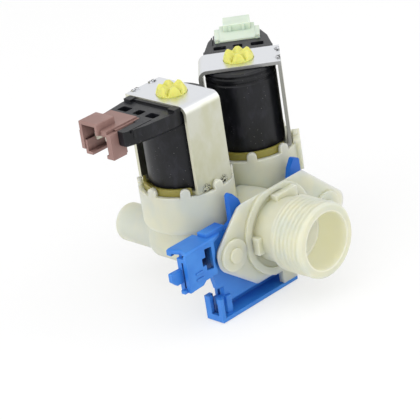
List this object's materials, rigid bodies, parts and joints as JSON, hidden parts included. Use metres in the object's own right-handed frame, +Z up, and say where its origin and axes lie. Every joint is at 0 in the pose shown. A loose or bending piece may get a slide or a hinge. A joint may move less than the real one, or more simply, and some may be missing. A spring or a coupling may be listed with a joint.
{
  "type": "washing machine inlet valve",
  "caption": "Twin solenoid water valve: threaded inlet on a hexagonal flange, two coils in steel yokes, hose spigots behind and a clip-on rail bracket.",
  "frame": {"origin": "the inlet's axis, at the front face of its flange", "axes": "-Y out of the inlet, +Z up along the coils, +X from the brown connector's valve to the green one's"},
  "size_m": [0.098, 0.0804, 0.0774],
  "materials": {
    "body_plastic": "satin natural nylon, slightly translucent",
    "bracket_plastic": "satin blue moulded plastic",
    "strainer_plastic": "fine moulded sieve",
    "regulator_rubber": "moulded rubber",
    "coil_plastic": "black glass-filled moulding",
    "bobbin_plastic": "natural moulding",
    "winding_wire": "enamelled copper wire",
    "terminal_metal": "tinned tags",
    "yoke_steel": "zinc plated sheet, rolled",
    "pole_steel": "plain steel sleeve",
    "guide_plastic": "satin pale yellow moulding",
    "plunger_steel": "ground stainless steel",
    "seal_rubber": "moulded rubber",
    "spring_steel": "drawn stainless wire",
    "insert_plastic": "white moulding",
    "brown_connector_plastic": "satin brown moulding",
    "green_connector_plastic": "satin pale green moulding"
  },
  "bodies": {
    "body": {"valve_body": "body_plastic", "mounting_bracket": "bracket_plastic", "inlet_strainer": "strainer_plastic", "flow_regulator": "regulator_rubber", "regulator_carrier": "strainer_plastic", "left_coil": "coil_plastic", "left_bobbin": "bobbin_plastic", "left_winding": "winding_wire", "left_terminals": "terminal_metal", "left_yoke_cap": "yoke_steel", "left_yoke_base": "yoke_steel", "left_lower_pole": "pole_steel", "left_upper_pole": "pole_steel", "left_guide_tube": "guide_plastic", "left_plunger_spring": "spring_steel", "left_diaphragm": "seal_rubber", "left_connector": "brown_connector_plastic", "right_coil": "coil_plastic", "right_bobbin": "bobbin_plastic", "right_winding": "winding_wire", "right_terminals": "terminal_metal", "right_yoke_cap": "yoke_steel", "right_yoke_base": "yoke_steel", "right_lower_pole": "pole_steel", "right_upper_pole": "pole_steel", "right_guide_tube": "guide_plastic", "right_plunger_spring": "spring_steel", "right_diaphragm": "seal_rubber", "right_connector": "green_connector_plastic"},
    "left_plunger_body": {"left_plunger": "plunger_steel", "left_plunger_seal": "seal_rubber"},
    "left_insert_body": {"left_diaphragm_insert": "insert_plastic"},
    "right_plunger_body": {"right_plunger": "plunger_steel", "right_plunger_seal": "seal_rubber"},
    "right_insert_body": {"right_diaphragm_insert": "insert_plastic"}
  },
  "joints": [
    {"name": "left_plunger_lift", "type": "slide", "parent": "body", "child": "left_plunger_body", "axis": [0, 0, 1], "range_m": [0, 0.003], "stiffness_N_per_m": 150, "springref_m": -0.008, "deforming": ["left_plunger_spring"]},
    {"name": "left_diaphragm_lift", "type": "slide", "parent": "body", "child": "left_insert_body", "axis": [0, 0, 1], "range_m": [0, 0.0024], "deforming": ["left_diaphragm"]},
    {"name": "right_plunger_lift", "type": "slide", "parent": "body", "child": "right_plunger_body", "axis": [0, 0, 1], "range_m": [0, 0.003], "stiffness_N_per_m": 150, "springref_m": -0.008, "deforming": ["right_plunger_spring"]},
    {"name": "right_diaphragm_lift", "type": "slide", "parent": "body", "child": "right_insert_body", "axis": [0, 0, 1], "range_m": [0, 0.0024], "deforming": ["right_diaphragm"]}
  ],
  "couplings": [
    {"joint": "left_diaphragm_lift", "follows": "left_plunger_lift", "ratio": 0.8},
    {"joint": "right_diaphragm_lift", "follows": "right_plunger_lift", "ratio": 0.8}
  ]
}
